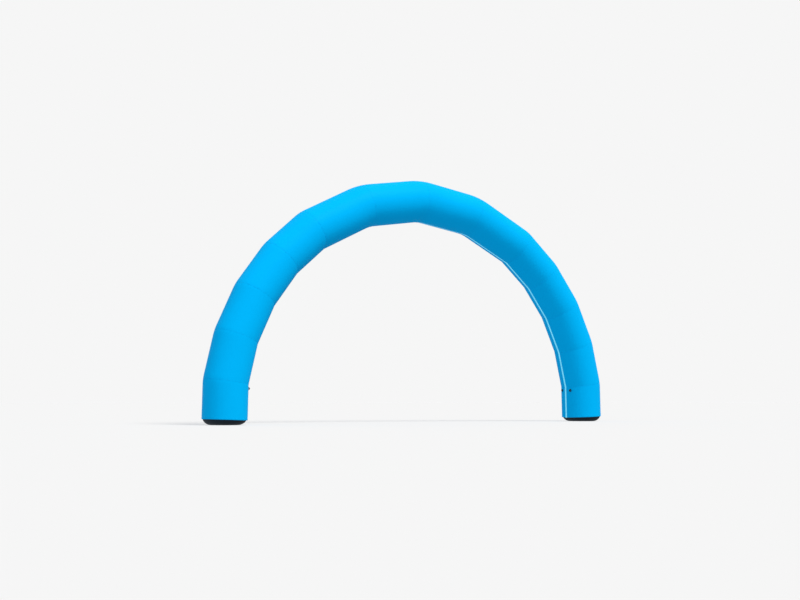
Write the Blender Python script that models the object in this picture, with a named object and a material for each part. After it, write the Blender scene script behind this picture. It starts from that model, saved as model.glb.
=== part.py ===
"""An air-sealed inflatable arch, made of the pieces that its maker cuts, sews and fits.

A black air tube, filled and sealed, carries a zipped cover of mitred panels. Black webbing loops
for guy lines are sewn on the foot panels. Metres, +Z up: the arch stands along X, its feet rest on
z = 0, and the origin lies midway between them.
"""

import math
from collections import namedtuple

import bmesh
import bpy
from mathutils import Matrix, Vector

# The arch. Its centre line has its corners on a circle, and nearly upright legs below the first ones.
TUBE_DIAMETER = 0.650  # over the cover
ARC_RADIUS = 3.314  # of the circle through the centre line's corners
ARC_CENTRE_Z = 0.163
SHORT_PANELS = 4  # on each side, next above the foot panel
LONG_PANELS = 2  # on each side, up to the crown
FIRST_STEP = math.radians(11.44)  # the part of the circle that the first short panel takes
SHORT_STEP = math.radians(11.85)
LONG_STEP = math.radians(17.61)
LEG_LEAN = math.radians(1.24)  # the legs stand a little wider apart at the ground
CORNER_SOFTNESS = 0.045  # the length, each side of a seam, over which the corner is rounded off

# The cover
COVER_SHEET = 0.002
GAP = 0.0003  # between two pieces that touch
HEM_Z = 0.0736  # at the leg's centre line
HEM_TILT = math.radians(0.8)  # from square to the leg: the hem hangs lower inside the arch
ROUND_STEPS = 26  # facets of the cross-section, apart from those beside the zip

# The air tube's feet
FOOT_FLAT_RADIUS = 0.190
FOOT_ROUND_HEIGHT = 0.120
FOOT_ROUND_STEPS = 5

# The zip
ZIP_WIDTH = 0.041
ZIP_END_DROP = 0.012  # below the hem

# The guy loops: a doubled strip sewn down at both ends and standing out in a wedge between them
LOOP_Z = 0.521  # at the leg's centre line
LOOP_ANGLE = math.radians(18.0)  # round the leg, from the zip's middle
LOOP_FLAT = math.radians(10.0)  # of the cross-section is flat under a loop
LOOP_WIDTH = 0.035
LOOP_HEIGHT = 0.042
LOOP_PROUD = 0.028
LOOP_STRIP = 0.004  # two layers of webbing
LOOP_SEWN_END = 0.007
LOOP_NOSE_RADIUS = 0.004  # of the strip's middle
LOOP_NOSE_STEPS = 4

OUTER_RADIUS = TUBE_DIAMETER / 2
INNER_RADIUS = OUTER_RADIUS - COVER_SHEET
AIR_RADIUS = INNER_RADIUS - GAP

DEPTH = Vector((0.0, 1.0, 0.0))
UP = Vector((0.0, 0.0, 1.0))
SHARP_ANGLE = math.radians(30.0)

Finish = namedtuple("Finish", "name colour roughness metallic")
COVER_BLUE = Finish("cover_fabric", (0.003, 0.46, 0.93, 1.0), 0.60, 0.0)
TUBE_BLACK = Finish("air_tube_fabric", (0.012, 0.012, 0.014, 1.0), 0.50, 0.0)
ZIP_WHITE = Finish("zip_tape", (0.62, 0.80, 0.90, 1.0), 0.70, 0.0)
WEBBING_BLACK = Finish("webbing", (0.010, 0.010, 0.012, 1.0), 0.80, 0.0)

# A cut across the tube: its centre, the way along the tube, and the way to the inside of the arch,
# stretched where the cut is slanted so that the tube keeps its girth.
Section = namedtuple("Section", "centre along inward")


def corner_points():
    """The centre line's corners, from the left foot over the crown to the right foot."""
    steps = [FIRST_STEP] + [SHORT_STEP] * (SHORT_PANELS - 1) + [LONG_STEP] * LONG_PANELS
    angles = [math.pi / 2 - sum(steps[i:]) for i in range(len(steps) + 1)]
    left = [
        Vector((-ARC_RADIUS * math.cos(a), 0.0, ARC_CENTRE_Z + ARC_RADIUS * math.sin(a)))
        for a in angles
    ]
    right = [Vector((-point.x, 0.0, point.z)) for point in reversed(left[:-1])]
    return left + right


def soft_line(corners):
    """The centre line with each corner cut off, and the seam's point in the middle of the cut."""
    line = [corners[0]]
    for before, corner, after in zip(corners, corners[1:], corners[2:]):
        start = corner + (before - corner).normalized() * CORNER_SOFTNESS
        end = corner + (after - corner).normalized() * CORNER_SOFTNESS
        line += [start, (start + end) / 2, end]
    line.append(corners[-1])
    return line


def mitre(before, centre, after):
    """The section that halves the turn at centre."""
    leaving = (after - centre).normalized()
    along = ((centre - before).normalized() + leaving).normalized()
    return Section(centre, along, DEPTH.cross(along) / along.dot(leaving))


def straight_cut(centre, along, tilt=0.0):
    """A section square to the tube, or with its inner side tilted back along it."""
    inward = DEPTH.cross(along)
    return Section(centre, along, inward - along * math.tan(tilt))


def moved(section, distance):
    """The section shifted along the tube."""
    return section._replace(centre=section.centre + section.along * distance)


def at_angle(section, radius, angle):
    """The point of the section at that radius, its angle counted from the inner line."""
    return section.centre + section.inward * radius * math.cos(angle) + DEPTH * radius * math.sin(angle)


def ring_angles():
    """The cross-section's corners, from the zip's one edge round to the other."""
    zip_edge = math.asin(ZIP_WIDTH / 2 / OUTER_RADIUS)
    first = LOOP_ANGLE + LOOP_FLAT / 2
    step = (2 * math.pi - 2 * first) / ROUND_STEPS
    beside_zip = [zip_edge, LOOP_ANGLE - LOOP_FLAT / 2]
    far_side = [2 * math.pi - angle for angle in reversed(beside_zip)]
    return beside_zip + [first + step * i for i in range(ROUND_STEPS + 1)] + far_side


def make_material(finish):
    material = bpy.data.materials.new(finish.name)
    material.use_nodes = True
    shader = material.node_tree.nodes["Principled BSDF"]
    shader.inputs["Base Color"].default_value = finish.colour
    shader.inputs["Roughness"].default_value = finish.roughness
    shader.inputs["Metallic"].default_value = finish.metallic
    material.diffuse_color = finish.colour
    return material


def make_mesh(name, points, faces, material):
    """A closed mesh with its faces pointing out, smooth but for its edges."""
    shape = bmesh.new()
    verts = [shape.verts.new(point) for point in points]
    for face in faces:
        shape.faces.new([verts[i] for i in face])
    bmesh.ops.recalc_face_normals(shape, faces=shape.faces)
    mesh = bpy.data.meshes.new(name)
    shape.to_mesh(mesh)
    shape.free()
    mesh.shade_smooth()
    mesh.set_sharp_from_angle(angle=SHARP_ANGLE)
    mesh.materials.append(material)
    return mesh


def add_object(name, mesh, parent):
    piece = bpy.data.objects.new(name, mesh)
    piece.parent = parent
    bpy.context.collection.objects.link(piece)
    return piece


def tube_faces(rings, corners):
    """Faces that join closed rings, one after another, with a cap at each end."""
    faces = [list(range(corners))]
    for ring in range(rings - 1):
        low = ring * corners
        for i in range(corners):
            j = (i + 1) % corners
            faces.append([low + i, low + j, low + corners + j, low + corners + i])
    last = (rings - 1) * corners
    faces.append([last + i for i in range(corners)])
    return faces


def cover_panel(name, sections, material):
    """One sheet of the cover round the tube, open along the zip."""
    angles = ring_angles()
    points = []
    for section in sections:
        points += [at_angle(section, OUTER_RADIUS, angle) for angle in angles]
        points += [at_angle(section, INNER_RADIUS, angle) for angle in reversed(angles)]
    return make_mesh(name, points, strip_faces(len(sections), len(angles)), material)


def strip_faces(rings, side):
    """Faces of a sheet whose rings each go out along one side of it and back along the other."""
    corners = 2 * side
    faces = tube_faces(rings, corners)[1:-1]
    for low in (0, (rings - 1) * corners):
        for i in range(side - 1):
            faces.append([low + i, low + i + 1, low + corners - 2 - i, low + corners - 1 - i])
    return faces


def air_tube(name, sections, material):
    """The filled tube, its ends rounded off and pressed flat where they stand."""
    angles = ring_angles()
    turns = [math.pi / 2 * i / FOOT_ROUND_STEPS for i in range(FOOT_ROUND_STEPS + 1)]
    foot_rings = [
        (
            FOOT_ROUND_HEIGHT * (1 - math.cos(turn)),
            FOOT_FLAT_RADIUS + (AIR_RADIUS - FOOT_FLAT_RADIUS) * math.sin(turn),
        )
        for turn in turns
    ]
    left = [(straight_cut(leg_point(sections[0], z), UP), radius) for z, radius in foot_rings]
    right = [(straight_cut(leg_point(sections[-1], z), -UP), radius) for z, radius in foot_rings]
    middle = [(section, AIR_RADIUS) for section in sections[1:-1]]
    rings = left + middle + right[::-1]
    points = [at_angle(section, radius, angle) for section, radius in rings for angle in angles]
    return make_mesh(name, points, tube_faces(len(rings), len(angles)), material)


def leg_point(hem, height):
    """The point of the leg's centre line at that height."""
    return hem.centre + hem.along * (height - hem.centre.z) / hem.along.z


def zip_strip(name, sections, material):
    """The zip's tape, let into the gap between the cover's edges."""
    edge = ring_angles()[0]
    drop = OUTER_RADIUS * math.tan(HEM_TILT) + ZIP_END_DROP
    first = moved(straight_cut(sections[0].centre, sections[0].along), -drop)
    last = moved(straight_cut(sections[-1].centre, sections[-1].along), drop)
    points = []
    for section in [first] + sections[1:-1] + [last]:
        for radius, side in ((OUTER_RADIUS, 1), (OUTER_RADIUS, -1), (INNER_RADIUS, -1), (INNER_RADIUS, 1)):
            across = side * (radius * math.sin(edge) - GAP)
            points.append(section.centre + section.inward * radius * math.cos(edge) + DEPTH * across)
    return make_mesh(name, points, tube_faces(len(sections), 4), material)


def loop_line():
    """The middle of the loop's strip, seen from its side, as distance out and height."""
    nose_out = LOOP_PROUD - LOOP_STRIP / 2 - LOOP_NOSE_RADIUS
    bend_z = LOOP_HEIGHT / 2 - LOOP_SEWN_END
    rise = nose_out - LOOP_STRIP / 2
    lean = math.atan2(bend_z, rise) - math.asin(LOOP_NOSE_RADIUS / math.hypot(rise, bend_z))
    turns = [lean + (math.pi - 2 * lean) * i / LOOP_NOSE_STEPS for i in range(LOOP_NOSE_STEPS + 1)]
    nose = [
        (nose_out + LOOP_NOSE_RADIUS * math.sin(turn), LOOP_NOSE_RADIUS * -math.cos(turn))
        for turn in turns
    ]
    lower = [(LOOP_STRIP / 2, -LOOP_HEIGHT / 2), (LOOP_STRIP / 2, -bend_z)]
    upper = [(out, -z) for out, z in reversed(lower)]
    return [Vector((out, 0.0, z)) for out, z in lower + nose + upper]


def guy_loop_mesh(name, material):
    """A webbing strip folded out into a wedge, with its flat ends against the cover."""
    line = loop_line()
    first = straight_cut(line[0], UP)
    last = straight_cut(line[-1], UP)
    sections = [first] + [mitre(*three) for three in zip(line, line[1:], line[2:])] + [last]
    points = []
    for section in sections:
        for out, side in ((1, 1), (1, -1), (-1, -1), (-1, 1)):
            across = DEPTH * side * LOOP_WIDTH / 2
            points.append(section.centre + section.inward * out * LOOP_STRIP / 2 + across)
    return make_mesh(name, points, tube_faces(len(sections), 4), material)


def add_guy_loops(sections, material, parent):
    """Two loops on each leg, one each side of the zip."""
    mesh = guy_loop_mesh("guy_loop", material)
    reach = OUTER_RADIUS * math.cos(LOOP_FLAT / 2) + GAP
    for leg, hem in (("left", sections[0]), ("right", sections[-1])):
        section = straight_cut(leg_point(hem, LOOP_Z), hem.along)
        up = hem.along * math.copysign(1.0, hem.along.z)
        for side, angle in (("front", -LOOP_ANGLE), ("back", LOOP_ANGLE)):
            out = at_angle(section, 1.0, angle) - section.centre
            loop = add_object(f"guy_loop_{leg}_{side}", mesh, parent)
            loop.location = section.centre + out * reach
            loop.rotation_euler = Matrix((out, up.cross(out), up)).transposed().to_euler()


def panel_names():
    left = ["foot_panel_left"] + [f"panel_left_{i + 1}" for i in range(SHORT_PANELS + LONG_PANELS)]
    return left + [name.replace("left", "right") for name in reversed(left)]


def panel_sections(sections):
    """The sections of each panel, from hem to seam, seam to seam and seam to hem."""
    seams = list(range(2, len(sections) - 1, 3))
    runs = [(0, seams[0])] + list(zip(seams, seams[1:])) + [(seams[-1], len(sections) - 1)]
    panels = []
    for start, end in runs:
        run = sections[start : end + 1]
        if start:
            run[0] = moved(run[0], GAP / 2)
        if end < len(sections) - 1:
            run[-1] = moved(run[-1], -GAP / 2)
        panels.append(run)
    return panels


def arch_sections():
    """Every section of the arch, from the left hem to the right one."""
    corners = corner_points()
    hem_x = corners[-1].x + (corners[-1].z - HEM_Z) * math.tan(LEG_LEAN)
    hems = [Vector((-hem_x, 0.0, HEM_Z)), Vector((hem_x, 0.0, HEM_Z))]
    line = soft_line([hems[0]] + corners + [hems[1]])
    inner = [mitre(*three) for three in zip(line, line[1:], line[2:])]
    left_hem = straight_cut(hems[0], (corners[0] - hems[0]).normalized(), HEM_TILT)
    right_hem = straight_cut(hems[1], (hems[1] - corners[-1]).normalized(), -HEM_TILT)
    return [left_hem] + inner + [right_hem]


def clear_scene():
    for piece in list(bpy.data.objects):
        bpy.data.objects.remove(piece)


def main():
    clear_scene()
    arch = bpy.data.objects.new("inflatable_arch", None)
    bpy.context.collection.objects.link(arch)
    sections = arch_sections()
    add_object("air_tube", air_tube("air_tube", sections, make_material(TUBE_BLACK)), arch)
    blue = make_material(COVER_BLUE)
    for name, run in zip(panel_names(), panel_sections(sections)):
        add_object(name, cover_panel(name, run, blue), arch)
    add_object("inner_zip", zip_strip("inner_zip", sections, make_material(ZIP_WHITE)), arch)
    add_guy_loops(sections, make_material(WEBBING_BLACK), arch)


main()
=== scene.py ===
"""A zipped inflatable arch: its cover, air tube, zip, stitching and guy loops, in a studio.

Metres, +Z up. The arch stands along X with its feet on z = 0. Every piece lies round one centre line,
from the floor under the left foot, over the crown, to the floor under the right foot.
"""

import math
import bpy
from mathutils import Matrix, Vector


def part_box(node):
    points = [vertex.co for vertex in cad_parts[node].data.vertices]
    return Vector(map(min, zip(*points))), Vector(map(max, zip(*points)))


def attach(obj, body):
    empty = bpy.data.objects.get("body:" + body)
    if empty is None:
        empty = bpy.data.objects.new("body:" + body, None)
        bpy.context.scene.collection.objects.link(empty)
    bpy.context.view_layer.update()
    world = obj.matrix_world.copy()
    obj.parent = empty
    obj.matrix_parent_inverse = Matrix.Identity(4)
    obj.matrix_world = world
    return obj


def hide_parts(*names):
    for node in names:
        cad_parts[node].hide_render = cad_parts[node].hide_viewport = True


bl_info = {
    "name": "Inflatable Arch",
    "version": (1, 0, 0),
    "blender": (4, 5, 0),
    "location": "View3D > Sidebar > Arch",
    "description": "Builds the cover, air tube, zip, stitching and guy loops of an inflatable arch",
    "category": "Add Mesh",
}

from collections import namedtuple

import bmesh
import bpy
import numpy as np
from bpy.props import FloatProperty, FloatVectorProperty, IntProperty, PointerProperty
from mathutils import Vector

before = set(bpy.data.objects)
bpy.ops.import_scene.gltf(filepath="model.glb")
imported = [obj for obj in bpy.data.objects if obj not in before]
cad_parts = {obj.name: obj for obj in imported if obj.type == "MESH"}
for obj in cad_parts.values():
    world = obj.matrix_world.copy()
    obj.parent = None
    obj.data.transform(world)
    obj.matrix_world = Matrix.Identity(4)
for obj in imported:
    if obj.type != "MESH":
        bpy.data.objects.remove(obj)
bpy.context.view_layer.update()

BODY = "root"
SHORT_PANELS = 4  # on each side, next above the foot panel
LONG_PANELS = 2  # on each side, up to the crown
DEPTH = np.array((0.0, 1.0, 0.0))
TURN = 2 * math.pi
SHARP_ANGLE = math.radians(40.0)
TIGHTEST_BEND = 1.03  # the least radius of a corner, in radii of the tube
CLOTH_MAP = "cloth"  # the UV map, in metres across and along the cloth
# The attribute below darkens the cover's colour along each seam, as painted shade
PAINTED_SEAM_SHADE = "painted_seam_shade"  # the attribute that is 1 at a seam and 0 away from it
OUTWARD = "outward"  # the attribute with the way out of the surface
STEP_WIDTH = 0.0012  # over which the cloth steps up to a fold

# A run of the centre line: its start, its heading from straight up, and how far it goes and turns
Span = namedtuple("Span", "x z heading length turn")
# A place on the centre line, with the way along it and the way to the inside of the arch
Station = namedtuple("Station", "centre along inward")
# One sheet of the cover: the model's node, its ends on the centre line, and which seams they are
Panel = namedtuple("Panel", "node start end start_seam end_seam")


def length(label, note, default):
    return FloatProperty(name=label, description=note, default=default, min=0.0, unit="LENGTH")


def angle(label, note, degrees):
    return FloatProperty(name=label, description=note, default=math.radians(degrees), subtype="ANGLE")


def colour(label, note, default):
    return FloatVectorProperty(
        name=label, description=note, default=default, size=3, min=0.0, max=1.0, subtype="COLOR"
    )


def share(label, note, default):
    return FloatProperty(name=label, description=note, default=default, min=0.0, max=1.0, subtype="FACTOR")


class ArchShape(bpy.types.PropertyGroup):
    """The tube, whose corners lie on a circle above two nearly upright legs."""

    tube_diameter: length("Tube diameter", "Over the cover", 0.650)
    arc_radius: length("Arc radius", "Of the circle through the corners", 3.314)
    arc_height: length("Arc height", "Of that circle's centre", 0.163)
    first_step: angle("First panel", "How much of the circle the lowest short panel takes", 11.44)
    short_step: angle("Short panel", "How much of it another short panel takes", 11.85)
    long_step: angle("Long panel", "How much of it a long panel takes", 17.61)
    leg_lean: angle("Leg lean", "How far the legs lean apart towards the ground", 1.24)
    corner_run: length("Corner run", "How far the tube bends on each side of a seam", 0.045)
    crown_run: length("Crown corner run", "The same for a seam between two long panels", 0.150)


class CoverSettings(bpy.types.PropertyGroup):
    colour: colour("Cloth", "Colour of the cover", (0.0005, 0.440, 0.870))
    thread: colour("Thread", "Colour of the cover's stitching", (0.0010, 0.430, 0.880))
    turn: angle("Turn", "How far round to the back the middle of the zip lies", 1.1)
    cloth: length("Cloth thickness", "Thickness of one layer", 0.0012)
    weave: length("Weave", "From one pair of yarns to the next", 0.0016)
    seam_draw: length("Seam draw", "How far a seam pulls the cloth in", 0.0009)
    seam_width: length("Seam width", "Width of the cloth folded under beside a seam", 0.012)
    fold_rise: length("Fold rise", "How far folded cloth stands up", 0.0005)
    pucker: length("Pucker", "Height of the gathers beside a seam", 0.0004)
    hem_width: length("Hem width", "Width of the cloth turned up at the feet", 0.024)
    hem_tilt: angle("Hem tilt", "How far from square the hem hangs lower inside the arch", 0.8)
    hem_roll: length("Hem roll", "How far the hem's edge curls in", 0.004)


class AirTubeSettings(bpy.types.PropertyGroup):
    colour: colour("Coated cloth", "Colour of the air tube", (0.0130, 0.0150, 0.0215))
    slack: length("Slack", "Between the cover's outside and the tube", 0.0055)
    foot_flat: length("Flat of the foot", "Radius of the part that stands on the ground", 0.190)
    foot_round: length("Round of the foot", "Height over which the foot is rounded", 0.120)
    wrinkle: length("Foot wrinkles", "Depth of the creases above the ground", 0.0016)


class ZipSettings(bpy.types.PropertyGroup):
    tape_colour: colour("Tape", "Colour of the zip's tape", (0.29, 0.97, 1.00))
    # The zip's emission: a painted glow that brightens its tape and teeth in shade, though the zip is no
    # lamp
    glow: colour("Painted glow", "What the zip's painted glow adds", (0.020, 0.145, 0.285))
    tooth_colour: colour("Teeth", "Colour of the zip's teeth", (0.30, 0.97, 1.00))
    opening: length("Opening", "Between the cover's two edges", 0.036)
    tape_edge: length("Tape edge", "How far the tape runs on under the cover", 0.0045)
    tape: length("Tape thickness", "Thickness of the tape", 0.0008)
    chain: length("Chain width", "Over the two rows of teeth", 0.009)
    pitch: length("Tooth pitch", "From one tooth to the next in its row", 0.0042)


class LoopSettings(bpy.types.PropertyGroup):
    colour: colour("Webbing", "Colour of the loops", (0.010, 0.010, 0.012))
    thread: colour("Thread", "Colour of the loops' stitching", (0.030, 0.030, 0.033))
    spread: angle("Place", "Round the leg, from the middle of the zip", 18.0)
    width: length("Width", "Width of the webbing", 0.034)
    height: length("Height", "Height of the loop, with its sewn ends", 0.042)
    proud: length("Reach", "How far the loop stands out from the cover", 0.022)
    webbing: length("Webbing thickness", "Thickness of one layer", 0.0019)
    sewn: length("Sewn end", "Height of each end that is sewn down", 0.0065)
    slant: angle("Slant", "How far the loop is turned to the way its guy line pulls", 24.0)


class StitchSettings(bpy.types.PropertyGroup):
    pitch: length("Pitch", "From one stitch to the next", 0.0060)
    stitch: length("Stitch", "Length of the thread that shows", 0.0044)
    thick: length("Thread", "Thickness of the thread", 0.0009)
    seed: IntProperty(name="Seed", description="Of the stitches' unevenness", default=4, min=0)


class StageSettings(bpy.types.PropertyGroup):
    backdrop: share("Backdrop", "Brightness of the floor and what is behind it", 0.922)
    key: share("Key light", "Share of white that it gives a surface square to it", 0.849)
    key_height: angle("Key height", "Above the floor", 55.0)
    key_turn: angle("Key turn", "From straight in front towards the right", 25.0)
    key_size: angle("Key size", "How wide it looks from the arch", 24.0)


class ArchSettings(bpy.types.PropertyGroup):
    shape: PointerProperty(type=ArchShape)
    cover: PointerProperty(type=CoverSettings)
    air_tube: PointerProperty(type=AirTubeSettings)
    zip: PointerProperty(type=ZipSettings)
    loop: PointerProperty(type=LoopSettings)
    stitch: PointerProperty(type=StitchSettings)
    stage: PointerProperty(type=StageSettings)


def settings():
    return bpy.context.scene.inflatable_arch


# ---- Node trees


class Wire:
    """A socket of a node tree. Sums and products of wires add Math nodes."""

    def __init__(self, nodes, socket):
        self.nodes = nodes
        self.socket = socket

    def __add__(self, other):
        return self.nodes.math("ADD", self, other)

    def __radd__(self, other):
        return self.nodes.math("ADD", other, self)

    def __sub__(self, other):
        return self.nodes.math("SUBTRACT", self, other)

    def __rsub__(self, other):
        return self.nodes.math("SUBTRACT", other, self)

    def __mul__(self, other):
        return self.nodes.math("MULTIPLY", self, other)

    def __rmul__(self, other):
        return self.nodes.math("MULTIPLY", other, self)


class Nodes:
    def __init__(self, tree):
        self.tree = tree

    def add(self, kind, values=None, output=0, **options):
        """Adds a node, its options first, then its sockets, and gives back one of its outputs."""
        node = self.tree.nodes.new(kind)
        for name, value in options.items():
            setattr(node, name, value)
        for name, value in (values or {}).items():
            self.connect(node, name, value)
        return Wire(self, socket_of(node.outputs, output)) if node.outputs else None

    def connect(self, node, name, value):
        socket = socket_of(node.inputs, name)
        if isinstance(value, Wire):
            self.tree.links.new(value.socket, socket)
        else:
            socket.default_value = (*value, 1.0) if socket.type == "RGBA" else value

    def math(self, operation, *values):
        return self.add("ShaderNodeMath", dict(enumerate(values)), operation=operation)

    def noise(self, place, scale, detail=2.0, roughness=0.5):
        values = {"Vector": place, "Scale": scale, "Detail": detail, "Roughness": roughness}
        return self.add("ShaderNodeTexNoise", values, "Fac")

    def waves(self, value, pitch):
        """A wave from -1 to 1 that repeats at that pitch."""
        return self.math("SINE", value * (TURN / pitch))

    def bump(self, height, strength, distance, **under):
        values = {"Strength": strength, "Distance": distance, "Height": height}
        return self.add("ShaderNodeBump", values | under)

    def place(self):
        return self.add("ShaderNodeTexCoord", output="Object")

    def cloth_place(self):
        return self.add("ShaderNodeUVMap", uv_map=CLOTH_MAP)

    def parts(self, vector, axes="XY"):
        """A vector's numbers, such as the places across and along the cloth."""
        return [self.add("ShaderNodeSeparateXYZ", {"Vector": vector}, axis) for axis in axes]

    def tinted(self, tone, shade):
        """A colour made lighter and darker by a wire around 1."""
        even = self.add("ShaderNodeCombineColor", dict(zip(("Red", "Green", "Blue"), tone)))
        values = {"Factor": 1.0, "A": even, "B": shade}
        return self.add("ShaderNodeMix", values, "Result", data_type="RGBA", blend_type="MULTIPLY")


def socket_of(sockets, name):
    """The socket with that number, or the one in use with that name."""
    if isinstance(name, int):
        return sockets[name]
    return next(socket for socket in sockets if socket.enabled and socket.name == name)


class Finish(Nodes):
    """The nodes of a new material, around a bare shader."""

    def __init__(self, name):
        self.material = bpy.data.materials.new(name)
        self.material.use_nodes = True
        super().__init__(self.material.node_tree)

    def dressed(self, looks):
        """The material, with its shader's sockets set."""
        for name, value in looks.items():
            self.connect(self.tree.nodes["Principled BSDF"], name, value)
        return self.material


# ---- Materials

SHINE_TINT = (0.35, 0.80, 1.0)  # of dyed and of coated cloth
BACKING_PITCH = 0.0030  # of the cloth under the air tube's coating
HERRINGBONE_PITCH = 0.006
HERRINGBONE_SLANT = 0.004  # how far its rows run up between turns
TWILL_PITCH = 0.0016
TAPE_RIB_PITCH = 0.0012
WEBBING_RIB_PITCH = 0.0044
WEFT_PITCH = 0.0013
WEFT_SWAY = 0.0002  # how far a row of weft rises over a rib


def cover_material(cover):
    """Closely woven polyester, dyed through, with a satin face."""
    nodes = Finish("cover_cloth")
    flat = nodes.cloth_place()
    place = nodes.place()
    across, along = nodes.parts(flat)
    weave = nodes.waves(across, cover.weave) * nodes.waves(along, cover.weave)
    slubs = nodes.noise(flat, 900.0, detail=1.0)
    clouds = nodes.noise(place, 1.6, detail=3.0)
    drape = nodes.noise(place, 9.0)
    painted_seam_shade = nodes.add("ShaderNodeAttribute", output="Fac", attribute_name=PAINTED_SEAM_SHADE)
    # The cloth is a little darker along each seam: painted shade in the seam
    shade = 0.955 + clouds * 0.05 + drape * 0.03 + weave * 0.012 + slubs * 0.02 - painted_seam_shade * 0.01
    yarns = nodes.bump(weave * 0.5 + slubs, 0.5, 0.0002)
    return nodes.dressed({
        "Base Color": nodes.tinted(cover.colour, shade),
        "Roughness": 0.36 + drape * 0.08 + slubs * 0.06,
        "Normal": nodes.bump(drape, 0.6, 0.0022, Normal=yarns),
        "Specular IOR Level": 0.010,
        "Specular Tint": SHINE_TINT,
        "Sheen Weight": 0.02,
        "Sheen Roughness": 0.45,
        "Sheen Tint": (0.01, 0.70, 1.0),
    })


def air_tube_material(tube):
    """Heavy cloth with a welded plastic coating, scuffed a little where it stands, and darkened towards the
    floor by painted shade.
    """
    nodes = Finish("air_tube_cloth")
    place = nodes.place()
    across, along = nodes.parts(nodes.cloth_place())
    threads = nodes.waves(across, BACKING_PITCH) * nodes.waves(along, BACKING_PITCH)
    clouds = nodes.noise(place, 14.0, detail=4.0)
    scuffs = nodes.noise(place, 120.0, detail=3.0, roughness=0.7)
    (height,) = nodes.parts(place, "Z")
    # The first of these holds the scuffs to the ground; the second darkens the cloth towards the floor, as
    # painted shade where the foot meets the ground
    low, painted_ground_shade = (nodes.math("MAXIMUM", 1.0 - height * rate, 0.0) for rate in (28.0, 11.0))
    wear = low * nodes.math("MAXIMUM", scuffs - 0.45, 0.0)
    # Darker towards the floor by painted shade, lighter where scuffed
    shade = 0.80 + clouds * 0.45 - painted_ground_shade * 0.65 + wear * 3.0
    return nodes.dressed({
        "Base Color": nodes.tinted(tube.colour, shade),
        "Roughness": 0.46 + clouds * 0.12 + wear * 0.9,
        "Normal": nodes.bump(threads * 0.4 + scuffs, 0.3, 0.0003),
        "Specular IOR Level": 0.24,
        "Specular Tint": SHINE_TINT,
    })


def tape_material(zip_sizes):
    """The zip's tape: a close herringbone with a ribbed edge, and a painted glow that brightens it in
    shade.
    """
    nodes = Finish("zip_tape_weave")
    across, along = nodes.parts(nodes.cloth_place())
    slant = nodes.math("ABSOLUTE", nodes.waves(across, HERRINGBONE_PITCH)) * HERRINGBONE_SLANT
    twill = nodes.waves(along + slant, TWILL_PITCH)
    ribs = nodes.waves(across, TAPE_RIB_PITCH)
    dust = nodes.noise(nodes.place(), 6.0, detail=3.0)
    return nodes.dressed({
        "Base Color": nodes.tinted(zip_sizes.tape_colour, 0.97 + twill * 0.02 + ribs * 0.015 + dust * 0.03),
        "Roughness": 0.50 + twill * 0.05,
        "Normal": nodes.bump(twill + ribs * 0.5, 0.4, 0.0001),
        "Sheen Weight": 0.6,
        "Sheen Roughness": 0.4,
        "Sheen Tint": (0.40, 0.80, 1.0),
        # Painted glow: emission that brightens the tape in shade
        "Emission Color": zip_sizes.glow,
        "Emission Strength": 1.0,
    })


def tooth_material(zip_sizes):
    """Moulded plastic teeth, with a painted glow that brightens them in shade."""
    nodes = Finish("zip_tooth_plastic")
    grain = nodes.noise(nodes.place(), 400.0)
    dust = nodes.noise(nodes.place(), 7.0, detail=3.0)
    return nodes.dressed({
        "Base Color": nodes.tinted(zip_sizes.tooth_colour, 0.96 + dust * 0.06),
        "Roughness": 0.32 + grain * 0.12,
        "Normal": nodes.bump(grain, 0.2, 0.0001),
        # Painted glow: emission that brightens the teeth in shade
        "Emission Color": zip_sizes.glow,
        "Emission Strength": 1.0,
    })


def webbing_material(loop):
    """Black webbing with ribs along it and close rows of weft across it."""
    nodes = Finish("webbing_weave")
    across, along = nodes.parts(nodes.cloth_place())
    ribs = nodes.waves(across, WEBBING_RIB_PITCH)
    weft = nodes.waves(along + ribs * WEFT_SWAY, WEFT_PITCH)
    fluff = nodes.noise(nodes.place(), 600.0, detail=3.0, roughness=0.7)
    return nodes.dressed({
        "Base Color": nodes.tinted(loop.colour, 0.75 + ribs * 0.15 + weft * 0.18 + fluff * 0.5),
        "Roughness": 0.62 + fluff * 0.20,
        "Normal": nodes.bump(ribs + weft * 0.7 + fluff * 0.5, 0.7, 0.00035),
        "Specular IOR Level": 0.3,
    })


def thread_material(name, tone):
    """Twisted sewing thread."""
    nodes = Finish(name)
    strands = nodes.noise(nodes.place(), 1500.0, detail=1.0)
    return nodes.dressed({
        "Base Color": nodes.tinted(tone, 0.85 + strands * 0.30),
        "Roughness": 0.45 + strands * 0.20,
        "Normal": nodes.bump(strands, 0.4, 0.0001),
        "Specular IOR Level": 0.15,
    })


def floor_material(paint, glow):
    """Pale studio floor, which glows a little, so that shadows on it stay faint."""
    return Finish("studio_floor").dressed({
        "Base Color": paint,
        "Roughness": 1.0,
        "Specular IOR Level": 0.0,
        "Emission Color": (1.0, 1.0, 1.0),
        "Emission Strength": glow,
    })


# ---- The centre line


def tube_radius():
    """Of the cover's outside."""
    return settings().shape.tube_diameter / 2


def corner_points(shape):
    """The centre line's corners, from left to right."""
    steps = [shape.first_step] + [shape.short_step] * (SHORT_PANELS - 1) + [shape.long_step] * LONG_PANELS
    turns = [math.pi / 2 - sum(steps[i:]) for i in range(len(steps) + 1)]
    left = [
        (-shape.arc_radius * math.cos(turn), shape.arc_height + shape.arc_radius * math.sin(turn))
        for turn in turns
    ]
    return left + [(-x, z) for x, z in reversed(left[:-1])]


def ahead(point, heading, run):
    return point[0] + run * math.sin(heading), point[1] + run * math.cos(heading)


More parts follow.
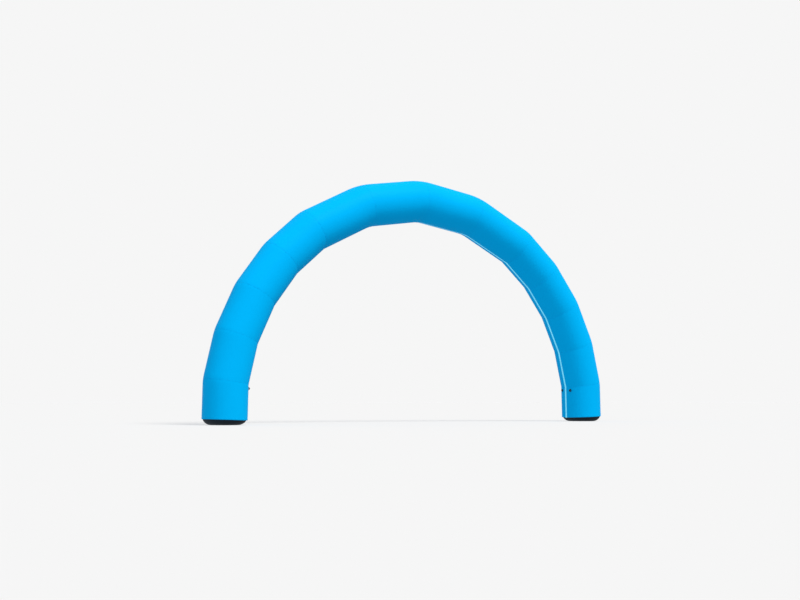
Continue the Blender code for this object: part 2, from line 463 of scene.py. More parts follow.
def arch_spans():
    """Straight runs and rounded corners by turns, from the left floor to the right one."""
    shape = settings().shape
    corners = corner_points(shape)
    foot_x = corners[-1][0] + corners[-1][1] * math.tan(shape.leg_lean)
    points = [(-foot_x, 0.0)] + corners + [(foot_x, 0.0)]
    low_runs = [shape.corner_run] * (SHORT_PANELS + 1)
    runs = low_runs + [shape.crown_run] * (2 * LONG_PANELS - 1) + low_runs
    spans = []
    start = points[0]
    heading = shape.leg_lean
    for corner, after, corner_run in zip(points[1:], points[2:], runs):
        turn = math.atan2(after[0] - corner[0], after[1] - corner[1]) - heading
        bend = max(corner_run / math.tan(turn / 2), TIGHTEST_BEND * tube_radius())
        corner_run = bend * math.tan(turn / 2)
        run = math.dist(start, corner) - corner_run
        spans.append(Span(*start, heading, run, 0.0))
        spans.append(Span(*ahead(start, heading, run), heading, bend * turn, turn))
        heading += turn
        start = ahead(corner, heading, corner_run)
    spans.append(Span(*start, heading, math.dist(start, points[-1]), 0.0))
    return spans


class CentreLine:
    """The line through the middle of the tube, measured from the left."""

    def __init__(self):
        self.spans = arch_spans()
        self.ends = np.cumsum([span.length for span in self.spans])
        self.length = self.ends[-1]

    def seams(self):
        """The distance of each seam, in the middle of its corner."""
        return [end - span.length / 2 for span, end in zip(self.spans, self.ends) if span.turn]

    def half_corner(self, seam):
        """Half of a seam's corner: how long it is, and how far it turns."""
        if seam is None:
            return 0.0, 0.0
        corner = [span for span in self.spans if span.turn][seam]
        return corner.length / 2, corner.turn / 2

    def stations(self, distances):
        which = np.minimum(np.searchsorted(self.ends, distances), len(self.spans) - 1)
        x, z, heading, run, turn = np.moveaxis(np.array(self.spans)[which], -1, 0)
        passed = distances - (self.ends[which] - run)
        bent = turn * passed / run
        chord = passed * np.sinc(bent / TURN)
        x = x + chord * np.sin(heading + bent / 2)
        z = z + chord * np.cos(heading + bent / 2)
        sine, cosine, level = np.sin(heading + bent), np.cos(heading + bent), np.zeros(x.shape)
        ways = ((x, level, z), (sine, level, cosine), (cosine, level, -sine))
        return Station(*(np.stack(way, axis=-1) for way in ways))

    def swept(self, distances, radii, angles, shifts=0.0):
        """Points round the line, in rows of distances and columns of angles from the zip's middle."""
        places = self.stations(distances)
        radii = np.asarray(radii)[..., None]
        shifts = np.asarray(shifts)[..., None]
        return places.centre + ways_out(places, angles) * radii + places.along * shifts


def turned(first, second, angle):
    """Two ways at right angles, turned from the first towards the second."""
    sine, cosine = np.sin(angle), np.cos(angle)
    return first * cosine + second * sine, second * cosine - first * sine


def ways_out(places, angles):
    return turned(places.inward, DEPTH, (angles + settings().cover.turn)[:, None])[0]


def leg_distance(height, angle=0.0):
    """How far along the leg a square cut is, from its height at that angle round the tube."""
    lean = settings().shape.leg_lean
    return height / math.cos(lean) + tube_radius() * math.cos(angle) * math.tan(lean)


# ---- Meshes


def new_object(name, data):
    made = bpy.data.objects.new(name, data)
    bpy.context.collection.objects.link(made)
    return made


def link_piece(mesh, material):
    mesh.materials.append(material)
    return new_object(mesh.name, mesh)


def cloth_map(across, along):
    """The place on the cloth of each point of a grid."""
    return np.stack(np.broadcast_arrays(across, along), axis=-1).reshape(-1, 2)


def finished_piece(name, points, faces, flat, material):
    """A smooth piece with its faces pointing out and its points' places on the cloth."""
    mesh = bpy.data.meshes.new(name)
    mesh.from_pydata(points.tolist(), [], faces)
    shape = bmesh.new()
    shape.from_mesh(mesh)
    bmesh.ops.recalc_face_normals(shape, faces=shape.faces)
    shape.to_mesh(mesh)
    shape.free()
    mesh.shade_smooth()
    mesh.set_sharp_from_angle(angle=SHARP_ANGLE)
    corners = np.zeros(len(mesh.loops), np.int32)
    mesh.loops.foreach_get("vertex_index", corners)
    layer = mesh.uv_layers.new(name=CLOTH_MAP)
    layer.data.foreach_set("uv", flat[corners].astype(np.float32).ravel())
    return link_piece(mesh, material)


def quads(at):
    """The faces between the points of a numbered grid."""
    corners = [at[:-1, :-1], at[:-1, 1:], at[1:, 1:], at[1:, :-1]]
    return np.stack(corners, axis=-1).reshape(-1, 4).tolist()


def closed(at):
    """The grid with its first column again at its end, so that rows are rings."""
    return np.hstack([at, at[:, :1]])


def cloth_piece(name, sides, across, along, material):
    """A closed sheet from the grids of its face and its back, with their places on the cloth."""
    sides = np.array(sides)
    grids = np.arange(sides[..., 0].size).reshape(sides.shape[:3])
    edges = [np.concatenate([at[0, :-1], at[:-1, -1], at[-1, :0:-1], at[:0:-1, 0]]) for at in grids]
    front, back = (quads(at) for at in grids)
    faces = front + [quad[::-1] for quad in back] + quads(closed(np.array(edges)))
    flat = np.tile(cloth_map(across, along), (2, 1))
    return finished_piece(name, sides.reshape(-1, 3), faces, flat, material)


def spaced(start, end, spacing, near=(0.0,)):
    """Numbers from start to end, close together near both and evenly spaced between."""
    first = start + np.array(near)
    last = end - np.array(near)[::-1]
    count = max(1, math.ceil((last[0] - first[-1]) / spacing))
    return np.concatenate([first, np.linspace(first[-1], last[0], count + 1)[1:-1], last])


def band(distance, width):
    """1 up to that distance from an edge, and 0 past it."""
    return 0.5 - 0.5 * np.tanh((distance - width) / STEP_WIDTH)


def ridge(distance, width):
    """1 at no distance, and next to nothing past twice the width."""
    return np.exp(-((distance / width) ** 2))


# ---- Rows of parts

REPEAT_INPUTS = ("Pitch", "Length", "Width", "Height", "Unevenness", "Seed")


def repeat_tree(name, material, element):
    """A node tree that sets one small part at even steps along a mesh's lines."""
    tree = bpy.data.node_groups.new(name, "GeometryNodeTree")
    tree.interface.new_socket("Geometry", in_out="OUTPUT", socket_type="NodeSocketGeometry")
    tree.interface.new_socket("Geometry", in_out="INPUT", socket_type="NodeSocketGeometry")
    for label in REPEAT_INPUTS:
        kind = "NodeSocketInt" if label == "Seed" else "NodeSocketFloat"
        tree.interface.new_socket(label, in_out="INPUT", socket_type=kind)
    nodes = Nodes(tree)
    add = nodes.add
    given = [add("NodeGroupInput", output=label) for label in ("Geometry",) + REPEAT_INPUTS]
    guide, pitch, long, wide, high, unevenness, seed = given
    lines = add("GeometryNodeMeshToCurve", {"Mesh": guide})
    outward = add("GeometryNodeInputNamedAttribute", {"Name": OUTWARD}, data_type="FLOAT_VECTOR")
    upright = add("FunctionNodeAlignRotationToVector", {"Vector": outward}, axis="Z")
    ways = {"Rotation": upright, "Vector": add("GeometryNodeInputTangent")}
    limits = {"Min": 1.0 - unevenness, "Max": 1.0 + unevenness, "Seed": seed}
    factor = add("FunctionNodeRandomValue", limits, "Value", data_type="FLOAT")
    placing = {
        "Points": add("GeometryNodeResampleCurve", {"Curve": lines, "Length": pitch}, mode="LENGTH"),
        "Instance": element(nodes),
        "Rotation": add("FunctionNodeAlignRotationToVector", ways, axis="X", pivot_axis="Z"),
        "Scale": add("ShaderNodeCombineXYZ", {"X": long * factor, "Y": wide, "Z": high}),
    }
    placed = add("GeometryNodeInstanceOnPoints", placing)
    real = add("GeometryNodeRealizeInstances", {"Geometry": placed})
    smooth = add("GeometryNodeSetShadeSmooth", {"Geometry": real})
    dressed = add("GeometryNodeSetMaterial", {"Geometry": smooth, "Material": material})
    add("NodeGroupOutput", {"Geometry": dressed})
    return tree


def stitch_element(nodes):
    """One stitch: a bead of thread, a metre long until it is scaled."""
    return nodes.add("GeometryNodeMeshIcoSphere", {"Radius": 0.5, "Subdivisions": 1})


def tooth_element(nodes):
    """One tooth: a bar across the zip, thicker at its head, a metre long until it is scaled."""
    sizes = {"Vertices": 6, "Radius Top": 0.5, "Radius Bottom": 0.36, "Depth": 1.0}
    bar = nodes.add("GeometryNodeMeshCone", sizes)
    centred = {"Geometry": bar, "Translation": (0.0, 0.5, 0.0), "Rotation": (math.pi / 2, 0.0, 0.0)}
    return nodes.add("GeometryNodeTransform", centred)


def repeated(name, tree, lines, *values):
    """A piece of the tree's parts, set along lines of (points, ways out)."""
    points, outward = (np.concatenate(part) for part in zip(*lines))
    ends = np.cumsum([0] + [len(line[0]) for line in lines])
    edges = [(i, i + 1) for first, end in zip(ends, ends[1:]) for i in range(first, end - 1)]
    guide = bpy.data.meshes.new(name)
    guide.from_pydata(points.tolist(), edges, [])
    ways = guide.attributes.new(OUTWARD, "FLOAT_VECTOR", "POINT")
    ways.data.foreach_set("vector", outward.astype(np.float32).ravel())
    piece = new_object(name, guide)
    modifier = piece.modifiers.new("repeat", "NODES")
    modifier.node_group = tree
    given = dict(zip(REPEAT_INPUTS, values))
    for item in tree.interface.items_tree:
        if item.name in given:
            modifier[item.identifier] = given[item.name]
    graph = bpy.context.evaluated_depsgraph_get()
    made = bpy.data.meshes.new_from_object(piece.evaluated_get(graph), depsgraph=graph)
    piece.modifiers.remove(modifier)
    piece.data = made
    bpy.data.meshes.remove(guide)
    made.name = name
    if not made.polygons:
        raise RuntimeError(f"{name} came out empty")
    return piece


def stitched(name, tree, lines, pitch=None):
    """A piece of stitches. At another pitch they are shorter or longer."""
    sizes = settings().stitch
    pitch = pitch or sizes.pitch
    stitch = sizes.stitch * pitch / sizes.pitch
    return repeated(name, tree, lines, pitch, stitch, sizes.thick, sizes.thick, UNEVENNESS, sizes.seed)


# ---- The cover

# Distances from a seam or an edge at which the cloth has a row of points
SEAM_ROWS = (0.0, 0.0008, 0.002, 0.004, 0.007, 0.010, 0.012, 0.014, 0.018, 0.026, 0.040, 0.060)
EDGE_COLUMNS = (0.0, 0.0010, 0.0030, 0.0060, 0.0080, 0.0095, 0.0120)
ROW_SPACING = 0.034
COLUMN_SPACING = 0.0142
PANEL_GAP = 0.00015  # so that two panels do not share faces
DRAWN_WIDTH = 0.016  # how far from a seam the cloth is pulled in
GROOVE_DEPTH = 0.0003
GROOVE_WIDTH = 0.0012
PUCKER_START = 0.010  # over which the gathers beside a seam begin, and fade out
PUCKER_END = 0.045
EDGE_FOLD = 0.009  # width of the cloth folded under along the zip
ROLL_WIDTH = 0.012  # of the curl at the hem's edge
TILT_REACH = 0.35  # how far up the leg the hem's tilt fades out
# Width of the band of painted shade along each seam
SEAM_SHADE_WIDTH = 0.004


def hem_drop():
    """How far the hem hangs lower inside the arch than at the leg's middle."""
    return tube_radius() * math.tan(settings().cover.hem_tilt)


def zip_edge():
    """The angle from the middle of the zip to the cover's edge."""
    return math.asin(settings().zip.opening / settings().shape.tube_diameter)


def cover_panels(line):
    """The sheets of the cover, from the left foot to the right one."""
    seams = line.seams()
    hem = leg_distance(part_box("foot_panel_left")[0].z) + hem_drop()
    left = ["foot_panel_left"] + [f"panel_left_{i + 1}" for i in range(SHORT_PANELS + LONG_PANELS)]
    nodes = left + [name.replace("left", "right") for name in reversed(left)]
    numbers = [None, *range(len(seams)), None]
    ends = [hem, *seams, line.length - hem]
    return [Panel(*row) for row in zip(nodes, ends, ends[1:], numbers, numbers[1:])]


def gathers(angles, seam):
    """The uneven gathers round a seam, from -1 to 1."""
    broad = np.sin(9 * angles + 2.3 * seam)
    fine = np.sin(41 * angles + 1.7 * seam + 1.5 * broad)
    return fine * (0.55 + 0.45 * np.sin(5 * angles + 0.9 * seam))


def seam_relief(distance, angles, seam, folded):
    """How far the cover stands out beside a seam, which is folded under on one side."""
    cover = settings().cover
    drawn = -cover.seam_draw * ridge(distance, DRAWN_WIDTH)
    groove = -GROOVE_DEPTH * ridge(distance, GROOVE_WIDTH)
    fold = cover.fold_rise * band(distance, cover.seam_width) * folded
    loose = (1 - np.exp(-distance / PUCKER_START)) * np.exp(-distance / PUCKER_END)
    return drawn + groove + fold + cover.pucker * gathers(angles, seam) * loose


class PanelCloth:
    """A panel's cloth at some angles round the tube. Rows are places along the cloth."""

    def __init__(self, line, panel, angles):
        """Marks where its corners end, along the centre line and along the cloth."""
        self.line = line
        self.panel = panel
        self.angles = angles
        first, first_turn = line.half_corner(panel.start_seam)
        last, last_turn = line.half_corner(panel.end_seam)
        reach = tube_radius() * np.cos(angles + settings().cover.turn)
        marks = [panel.start, panel.start + first, panel.end - last, panel.end]
        bent = first - reach * first_turn
        straight = bent + marks[2] - marks[1]
        self.turns = first_turn + last_turn
        self.line_marks = marks
        self.cloth_marks = np.array([0.0 * reach, bent, straight, straight + last - reach * last_turn])
        self.lengths = self.cloth_marks[-1]

    def rows(self):
        """Rows at the same distance from the panel's two ends at every angle."""
        run = self.panel.end - self.panel.start
        near = SEAM_ROWS[-1]
        rows = spaced(0.0, run, ROW_SPACING, SEAM_ROWS)
        marks = (0, near, run - near, run)
        columns = [np.interp(rows, marks, (0, near, end - near, end)) for end in self.lengths]
        return np.stack(columns, axis=1)

    def distances(self, rows):
        """How far along the centre line the rows are."""
        columns = zip(rows.T, self.cloth_marks.T)
        return np.stack([np.interp(row, marks, self.line_marks) for row, marks in columns], axis=1)

    def ends(self, rows):
        """For each end: the rows' distance from it, its seam, and -1 at the start or 1."""
        return (rows, self.panel.start_seam, -1), (self.lengths - rows, self.panel.end_seam, 1)

    def relief(self, rows):
        """How far the cover's face stands out from the tube's plain radius."""
        cover = settings().cover
        across = (np.minimum(self.angles, TURN - self.angles) - zip_edge()) * tube_radius()
        relief = cover.fold_rise * band(across, EDGE_FOLD)
        for distance, seam, side in self.ends(rows):
            if seam is None:
                curl = cover.hem_roll * np.clip(1 - distance / ROLL_WIDTH, 0.0, 1.0) ** 2
                relief = relief + (cover.fold_rise * band(distance, cover.hem_width) - curl)
            else:
                relief = relief + seam_relief(distance, self.angles, seam, side < 0)
        return relief

    def tilt(self, rows):
        """How far points move along the leg, so that a hem hangs at a slant."""
        hems = [(distance, side) for distance, seam, side in self.ends(rows) if seam is None]
        shares = sum(side * np.clip(1 - distance / TILT_REACH, 0, 1) for distance, side in hems)
        return shares * hem_drop() * np.cos(self.angles)

    def surface(self, rows, lift=0.0):
        """Points of the cloth's face, or above it."""
        radii = tube_radius() + self.relief(rows) + lift
        return self.line.swept(self.distances(rows), radii, self.angles, self.tilt(rows))

    def flat_size(self):
        """The panel's width round the tube, its longest length, and its area."""
        width = (TURN - 2 * zip_edge()) * tube_radius()
        middle = self.panel.end - self.panel.start
        return (width, middle + tube_radius() * self.turns), width * middle

    def stitch_line(self, rows):
        """A line of stitches: its points and the ways out of the cloth."""
        ways = ways_out(self.line.stations(self.distances(rows)), self.angles)
        return self.surface(rows, STITCH_LIFT).reshape(-1, 3), ways.reshape(-1, 3)


def cover_angles():
    radius = tube_radius()
    edge = zip_edge() * radius
    return spaced(edge, TURN * radius - edge, COLUMN_SPACING, EDGE_COLUMNS) / radius


def cover_panel(cloth, material):
    rows = cloth.rows()
    gaps = [PANEL_GAP * (seam is not None) for distance, seam, side in cloth.ends(rows)]
    rows = np.clip(rows, gaps[0], cloth.lengths - gaps[1])
    sides = [cloth.surface(rows, lift) for lift in (0.0, -settings().cover.cloth)]
    across = (cloth.angles - cloth.angles[0]) * tube_radius()
    piece = cloth_piece("cover_" + cloth.panel.node, sides, across, rows - cloth.lengths / 2, material)
    nearest = np.min([distance for distance, seam, side in cloth.ends(rows) if seam is not None], axis=0)
    # The band along the seams that darkens the cloth's colour, as painted shade
    painted_seam_shade = np.tile(ridge(nearest, SEAM_SHADE_WIDTH).ravel(), 2)
    shade = piece.data.attributes.new(PAINTED_SEAM_SHADE, "FLOAT", "POINT")
    shade.data.foreach_set("value", painted_seam_shade.astype(np.float32))
    return piece


class ARCH_OT_add_cover(bpy.types.Operator):
    """Sews the cover: a mitred sheet from each seam to the next, open along the zip"""

    bl_idname = "arch.add_cover"
    bl_label = "Cover"

    def execute(self, context):
        line = CentreLine()
        material = cover_material(settings().cover)
        for panel in cover_panels(line):
            cloth = PanelCloth(line, panel, cover_angles())
            piece = cover_panel(cloth, material)
            flat, area = cloth.flat_size()
            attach(piece, BODY)
            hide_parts(panel.node)
        return {"FINISHED"}


# ---- The air tube

TUBE_SIDES = 120
TUBE_SPACING = 0.05
FOOT_RINGS = 26  # round the edge of a foot
SOLE_RINGS = 7  # on its flat, from the small cap in the middle
CAP_RADIUS = 0.02
CREASE_HEIGHT = 0.030  # where the foot's creases are deepest
CREASE_START = 0.012


def foot_creases(heights, angles, depth):
    """Shallow creases round the foot, deepest just above the ground."""
    near = ridge(heights - CREASE_HEIGHT, CREASE_HEIGHT) * np.clip(heights / CREASE_START, 0, 1)
    wave = np.sin(31 * angles + 2.0 * np.sin(5 * angles)) * (0.6 + 0.4 * np.sin(3 * angles + 1.0))
    return depth * near[:, None] * wave


def air_tube_piece(line, material):
    """The filled tube, flat under each foot and rounded up to its full width."""
    tube = settings().air_tube
    radius = tube_radius() - tube.slack
    angles = np.linspace(0.0, TURN, TUBE_SIDES + 1)[:-1]
    turns = np.linspace(0.0, math.pi / 2, FOOT_RINGS)
    sole_radii = np.linspace(CAP_RADIUS, tube.foot_flat, SOLE_RINGS + 1)[:-1]
    foot = np.concatenate([sole_radii * 0, tube.foot_round * (1 - np.cos(turns))])
    foot_radii = np.concatenate([sole_radii, tube.foot_flat + (radius - tube.foot_flat) * np.sin(turns)])
    middle = spaced(tube.foot_round, line.length - tube.foot_round, TUBE_SPACING)[1:-1]
    distances = np.concatenate([foot, middle, line.length - foot[::-1]])
    radii = np.concatenate([foot_radii, np.full(len(middle), radius), foot_radii[::-1]])
    heights = np.minimum(distances, line.length - distances)
    level = radii * np.clip(1 - heights / tube.foot_round, 0, 1) * math.tan(settings().shape.leg_lean)
    level *= np.where(distances < line.length / 2, 1, -1)
    reach = radii[:, None] + foot_creases(heights, angles, tube.wrinkle)
    points = line.swept(distances[:, None], reach, angles, level[:, None] * np.cos(angles))
    flat = cloth_map(angles * radius, (distances + radii * (heights < tube.foot_round))[:, None])
    at = np.arange(len(flat)).reshape(-1, TUBE_SIDES)
    faces = quads(closed(at)) + [at[0].tolist(), at[-1].tolist()]
    return finished_piece("air_tube_inside", points.reshape(-1, 3), faces, flat, material)


class ARCH_OT_add_air_tube(bpy.types.Operator):
    """Fills the sealed air tube, whose rounded feet show below the cover"""

    bl_idname = "arch.add_air_tube"
    bl_label = "Air Tube"

    def execute(self, context):
        piece = air_tube_piece(CentreLine(), air_tube_material(settings().air_tube))
        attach(piece, BODY)
        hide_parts("air_tube")
        return {"FINISHED"}


# ---- The zip

ZIP_SPACING = 0.02
ZIP_TUCK = 0.010  # folded away at each end
TAPE_COLUMNS = 7
TAPE_SINK = 0.0004  # of the tape's face below the cover's back
BEAD_RISE = 0.0005  # of the tape's edge beside the teeth
BEAD_WIDTH = 0.0015
TOOTH_SHARE = 0.56  # of the pitch and of the chain's width, that a tooth takes
TOOTH_HEIGHT = 0.0024
TOOTH_LIFT = 0.0004  # of a tooth's middle above the cover's back


def zip_run(line):
    """Distances from one end of the zip to the other."""
    end = leg_distance(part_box("inner_zip")[0].z) + ZIP_TUCK
    return spaced(end, line.length - end, ZIP_SPACING)[:, None]


def zip_tape(line, name, side, material):
    """One half of the tape, from the teeth to under the cover's edge, with its flat size."""
    sizes = settings().zip
    across = np.linspace(sizes.chain / 4, sizes.opening / 2 + sizes.tape_edge, TAPE_COLUMNS)
    bead = BEAD_RISE * ridge(across - sizes.chain / 2, BEAD_WIDTH)
    radii = tube_radius() - settings().cover.cloth - TAPE_SINK + bead
    distances = zip_run(line)
    angles = side * across / tube_radius()
    sides = [line.swept(distances, radii - depth, angles) for depth in (0.0, sizes.tape)]
    middle = sides[0][:, TAPE_COLUMNS // 2]
    flat = (across[-1] - across[0], float(path_places(middle)[-1]))
    return cloth_piece(name, sides, across, distances, material), flat


def path_places(path):
    """How far along a line of points each of them is."""
    return np.concatenate([[0.0], np.cumsum(np.linalg.norm(np.diff(path, axis=0), axis=1))])


def tooth_line(line, side):
    """The line of one row of teeth. The two rows run opposite ways, half a step apart."""
    sizes = settings().zip
    distances = zip_run(line)[::side]
    distances[0] -= sizes.pitch / 2 * (side < 0)
    angles = np.array([side * sizes.chain / 4 / tube_radius()])
    points = line.swept(distances, tube_radius() - settings().cover.cloth + TOOTH_LIFT, angles)
    return points[:, 0], ways_out(line.stations(distances), angles)[:, 0]


class ARCH_OT_add_zip(bpy.types.Operator):
    """Lays the zip: two halves of tape with a row of teeth on each"""

    bl_idname = "arch.add_zip"
    bl_label = "Zip"

    def execute(self, context):
        line = CentreLine()
        sizes = settings().zip
        material = tape_material(sizes)
        for name, side in (("zip_tape_front", -1), ("zip_tape_back", 1)):
            piece, flat = zip_tape(line, name, side, material)
            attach(piece, BODY)
            if side < 0:
                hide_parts("inner_zip")
        tree = repeat_tree("tooth_row", tooth_material(sizes), tooth_element)
        lines = [tooth_line(line, side) for side in (1, -1)]
        tooth = (sizes.pitch * TOOTH_SHARE, sizes.chain * TOOTH_SHARE, TOOTH_HEIGHT)
        teeth = repeated("zip_teeth", tree, lines, sizes.pitch, *tooth, 0.0, 0)
        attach(teeth, BODY)
        return {"FINISHED"}


# ---- Guy loops

NOSE_HEIGHT = 0.0036  # half the height of the loop's blunt outer edge
LOOP_COLUMNS = 13
LOOP_LIFT = 0.0003  # of the sewn ends above the cover
LAYER_FILL = 0.94  # how much of its thickness a layer fills
LOOP_ROUNDING = 3  # how many times its corners are cut off
EDGE_THINNING = 0.6  # of the webbing at its two edges
EDGE_POWER = 10
LOOP_STITCH_PITCH = 0.0036
LOOP_STITCH_ROWS = (0.0016, 0.0050)  # from the start of a sewn end
LOOP_STITCH_REACH = 0.44  # to each side of the middle, in widths
LOOP_STITCH_POINTS = 9
LOOP_STITCH_LIFT = 0.0001


def rounded(path, passes):
    """The line with its corners cut off again and again."""
    for _ in range(passes):
        before, after = path[:-1], path[1:]
        cuts = np.stack([before * 0.75 + after * 0.25, before * 0.25 + after * 0.75], axis=1)
        path = np.concatenate([path[:1], cuts.reshape(-1, 2), path[-1:]])
    return path


def loop_path(sizes):
    """The line between the loop's two layers, as distances out and heights."""
    flat = sizes.webbing
    end = -sizes.height / 2
    lower = [(flat, end), (flat, end + sizes.sewn), (sizes.proud - flat, -NOSE_HEIGHT)]
    return rounded(np.array(lower + [(out, -z) for out, z in reversed(lower)]), LOOP_ROUNDING)


def loop_point(line, leg, side, out, rise, across):
    """A place on a guy loop, from how far out, up and across it is."""
    sizes = settings().loop
    low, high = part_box("guy_loop_left_front")
    distance = leg_distance((low.z + high.z) / 2, sizes.spread)
    place = line.stations(distance if leg == "left" else line.length - distance)
    up = place.along * math.copysign(1.0, place.along[2])
    outward, sideways = turned(place.inward, DEPTH, side * sizes.spread)
    lift, shift = turned(rise, across, side * sizes.slant)
    reach = tube_radius() + LOOP_LIFT + out - shift**2 / (2 * tube_radius())
    return place.centre + outward * reach[..., None] + up * lift[..., None] + sideways * shift[..., None]


def loop_layer(line, name, leg, side, layer, material):
    """One layer of webbing, a wedge between its two sewn ends, with its length."""
    sizes = settings().loop
    path = loop_path(sizes)
    forward = np.gradient(path, axis=0)
    forward /= np.linalg.norm(forward, axis=1)[:, None]
    normal = np.stack([forward[:, 1], -forward[:, 0]], axis=1)
    across = np.linspace(-sizes.width / 2, sizes.width / 2, LOOP_COLUMNS)
    thin = EDGE_THINNING * (np.abs(across) / (sizes.width / 2)) ** EDGE_POWER

    def surface(edge):
        offset = layer * sizes.webbing / 2 + (edge - thin * edge) * sizes.webbing / 2 * LAYER_FILL
        out, rise = (path[:, None, i] + normal[:, None, i] * offset for i in (0, 1))
        return loop_point(line, leg, side, out, rise, across)

    along = path_places(path)
    sides = [surface(edge) for edge in (1, -1)]
    return cloth_piece(name, sides, across, along[:, None], material), float(along[-1])


def loop_stitch(line, leg, side, rise):
    """A line of stitches across a loop's sewn end."""
    sizes = settings().loop
    across = np.linspace(-LOOP_STITCH_REACH, LOOP_STITCH_REACH, LOOP_STITCH_POINTS) * sizes.width
    heights = (2 * sizes.webbing + LOOP_STITCH_LIFT, 3 * sizes.webbing)
    face, above = (loop_point(line, leg, side, out, rise, across) for out in heights)
    ways = above - face
    return face, ways / np.linalg.norm(ways, axis=1)[:, None]


class ARCH_OT_add_guy_loops(bpy.types.Operator):
    """Sews two loops of doubled webbing on each leg, one on each side of the zip"""

    bl_idname = "arch.add_guy_loops"
    bl_label = "Guy Loops"

    def execute(self, context):
        line = CentreLine()
        sizes = settings().loop
        material = webbing_material(sizes)
        tree = repeat_tree("loop_stitch_row", thread_material("loop_thread", sizes.thread), stitch_element)
        rises = [sizes.height / 2 - sizes.sewn + row for row in LOOP_STITCH_ROWS]
        rows = []
        for leg in ("left", "right"):
            for end, side in (("front", -1), ("back", 1)):
                for kind, layer in (("lining", -1), ("loop", 1)):
                    name = f"webbing_{kind}_{leg}_{end}"
                    piece, strip = loop_layer(line, name, leg, side, layer, material)
                    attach(piece, BODY)
                    if kind == "loop":
                        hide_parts(f"guy_loop_{leg}_{end}")
                for rise in rises:
                    rows += [loop_stitch(line, leg, side, place) for place in (rise, -rise)]
        thread = stitched("loop_thread", tree, rows, LOOP_STITCH_PITCH)
        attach(thread, BODY)
        return {"FINISHED"}


# ---- Stitching

UNEVENNESS = 0.06  # of the stitches' length
STITCH_LIFT = 0.0002  # of the thread's middle above the cloth
SEAM_STITCH_ROWS = (0.0030, 0.0090)  # from the seam
HEM_STITCH_INSET = 0.003  # from the top of the hem
ROUND_STITCH_INSET = 0.004  # from the cover's edge by the zip
ROUND_POINTS = 181
ALONG_STITCH_INSET = 0.0035
ALONG_STITCH_END = 0.006  # from the seams at both ends
ALONG_SPACING = 0.012


def stitch_round(line, panel, distance):
    """A line of stitches round the tube, from the panel's start, or back from its end if negative."""
    edge = zip_edge() + ROUND_STITCH_INSET / tube_radius()
    cloth = PanelCloth(line, panel, np.linspace(edge, TURN - edge, ROUND_POINTS))
    rows = cloth.lengths * (distance < 0) + distance
    return cloth.stitch_line(rows[None, :])


def stitch_along(line, panel, side):
    """A line of stitches along a panel's edge by the zip."""
    turn = zip_edge() + ALONG_STITCH_INSET / tube_radius()
    cloth = PanelCloth(line, panel, np.array([side * turn % TURN]))
    end = cloth.lengths[0] - ALONG_STITCH_END
    return cloth.stitch_line(spaced(ALONG_STITCH_END, end, ALONG_SPACING)[:, None])


class ARCH_OT_add_stitching(bpy.types.Operator):
    """Stitches the seams, the hems and the cover's edges along the zip"""

    bl_idname = "arch.add_stitching"
    bl_label = "Stitching"

    def execute(self, context):
        line = CentreLine()
        cover = settings().cover
        panels = cover_panels(line)
        tree = repeat_tree("stitch_row", thread_material("cover_thread", cover.thread), stitch_element)
        threads = {}
        for panel in panels[1:]:
            rows = [stitch_round(line, panel, row) for row in SEAM_STITCH_ROWS]
            threads[f"seam_thread_{panel.start_seam + 1}"] = rows
        hem = cover.hem_width - HEM_STITCH_INSET
        threads["hem_thread_left"] = [stitch_round(line, panels[0], hem)]
        threads["hem_thread_right"] = [stitch_round(line, panels[-1], -hem)]
        for end, side in (("front", -1), ("back", 1)):
            threads[f"zip_thread_{end}"] = [stitch_along(line, panel, side) for panel in panels]
        for name, rows in threads.items():
            piece = stitched(name, tree, rows)
            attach(piece, BODY)
        return {"FINISHED"}


# ---- The stage

SOFT_EVEN = 0.539  # light from all round
SOFT_FRONT = 0.055  # how much more of it comes from the front
SOFT_LEFT = 0.198  # how much more of it comes from the left
SOFT_TONE = (0.96, 1.00, 1.10)
KEY_TONE = (1.00, 1.00, 0.97)
FLOOR_SHADE = 0.40  # share of its brightness that a full shadow takes
FLOOR_REACH = 150.0
FLOOR_CORNERS = ((-1, -1), (1, -1), (1, 1), (-1, 1))
FLOOR_DROP = 0.0005  # so that the feet do not share its face
CAMERA_TURN = 0.56783  # to the right
CAMERA_TILT = 0.07735  # up


def add_light(stage):
    """Soft light from all round, and a key light from above the front."""
    world = bpy.data.worlds.new("soft_studio")
    bpy.context.scene.world = world
    world.use_nodes = True
    nodes = Nodes(world.node_tree)
    world.node_tree.nodes.clear()
    right, back = nodes.parts(nodes.add("ShaderNodeTexCoord", output="Generated"))
    soft = {"Color": SOFT_TONE, "Strength": SOFT_EVEN - back * SOFT_FRONT - right * SOFT_LEFT}
    plain = {"Color": (1.0, 1.0, 1.0), "Strength": stage.backdrop}
    lit, seen = (nodes.add("ShaderNodeBackground", values) for values in (soft, plain))
    camera = nodes.add("ShaderNodeLightPath", output="Is Camera Ray")
    shown = nodes.add("ShaderNodeMixShader", {0: camera, 1: lit, 2: seen})
    nodes.add("ShaderNodeOutputWorld", {"Surface": shown})
    key = bpy.data.lights.new("key", "SUN")
    key.energy = stage.key * math.pi
    key.color = KEY_TONE
    key.angle = stage.key_size
    level = math.cos(stage.key_height)
    way = (level * math.sin(stage.key_turn), -level * math.cos(stage.key_turn), math.sin(stage.key_height))
    new_object("key", key).rotation_euler = Vector(way).to_track_quat("Z", "Y").to_euler()


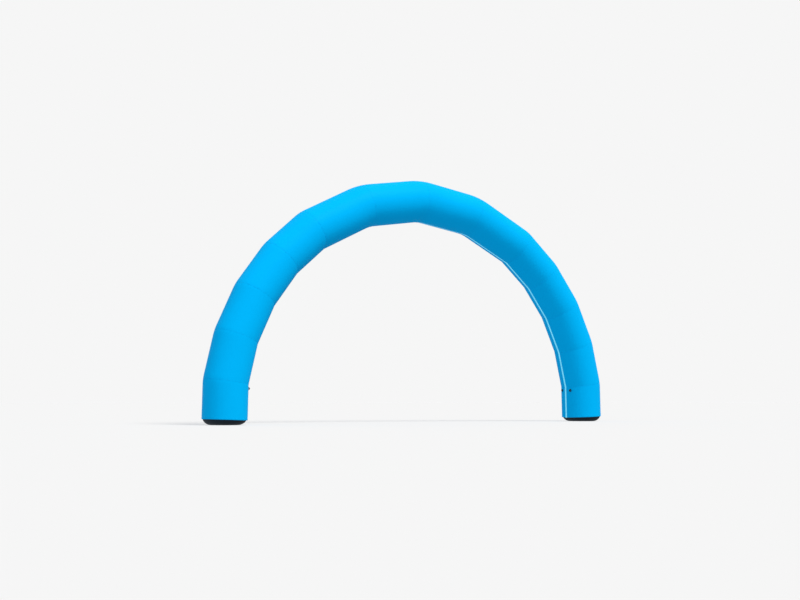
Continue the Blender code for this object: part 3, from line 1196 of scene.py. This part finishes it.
def add_floor(stage):
    """A floor that looks as bright as what is behind it."""
    from_key = stage.key * math.sin(stage.key_height)
    upward = [SOFT_EVEN * soft + from_key * key for soft, key in zip(SOFT_TONE, KEY_TONE)]
    paint = [stage.backdrop * FLOOR_SHADE / light for light in upward]
    corners = [(x * FLOOR_REACH, y * FLOOR_REACH, -FLOOR_DROP) for x, y in FLOOR_CORNERS]
    mesh = bpy.data.meshes.new("floor")
    mesh.from_pydata(corners, [], [(0, 1, 2, 3)])
    floor = link_piece(mesh, floor_material(paint, stage.backdrop * (1 - FLOOR_SHADE)))
    floor.visible_diffuse = False
    floor.visible_glossy = False


def add_camera():
    """A long lens, low down on the left, looking a little upwards."""
    data = bpy.data.cameras.new("camera")
    data.sensor_width = 36.0
    data.lens = 58.277
    data.clip_end = 500.0
    camera = new_object("camera", data)
    camera.location = (-11.1192, -16.8924, 0.3483)
    camera.rotation_euler = (math.pi / 2 + CAMERA_TILT, 0.0, -CAMERA_TURN)
    bpy.context.scene.camera = camera


class ARCH_OT_add_stage(bpy.types.Operator):
    """Sets up the floor, the soft light and the camera"""

    bl_idname = "arch.add_stage"
    bl_label = "Stage"

    def execute(self, context):
        stage = settings().stage
        add_light(stage)
        add_floor(stage)
        add_camera()
        context.scene.view_settings.view_transform = "Standard"
        return {"FINISHED"}


# ---- The add-on

OPERATORS = (
    ARCH_OT_add_stage,
    ARCH_OT_add_air_tube,
    ARCH_OT_add_cover,
    ARCH_OT_add_zip,
    ARCH_OT_add_guy_loops,
    ARCH_OT_add_stitching,
)


class ARCH_PT_panel(bpy.types.Panel):
    """Builds the arch, piece by piece"""

    bl_idname = "ARCH_PT_panel"
    bl_label = "Inflatable Arch"
    bl_space_type = "VIEW_3D"
    bl_region_type = "UI"
    bl_category = "Arch"

    def draw(self, context):
        for operator in OPERATORS:
            self.layout.operator(operator.bl_idname)


PARTS_SETTINGS = (ArchShape, CoverSettings, AirTubeSettings, ZipSettings, LoopSettings, StitchSettings)
CLASSES = (*PARTS_SETTINGS, StageSettings, ArchSettings, *OPERATORS, ARCH_PT_panel)


def register():
    for cls in CLASSES:
        bpy.utils.register_class(cls)
    bpy.types.Scene.inflatable_arch = PointerProperty(type=ArchSettings)


def unregister():
    del bpy.types.Scene.inflatable_arch
    for cls in reversed(CLASSES):
        bpy.utils.unregister_class(cls)


def main():
    register()
    for operator in OPERATORS:
        group, name = operator.bl_idname.split(".")
        getattr(getattr(bpy.ops, group), name)()


if __name__ == "__main__":
    main()
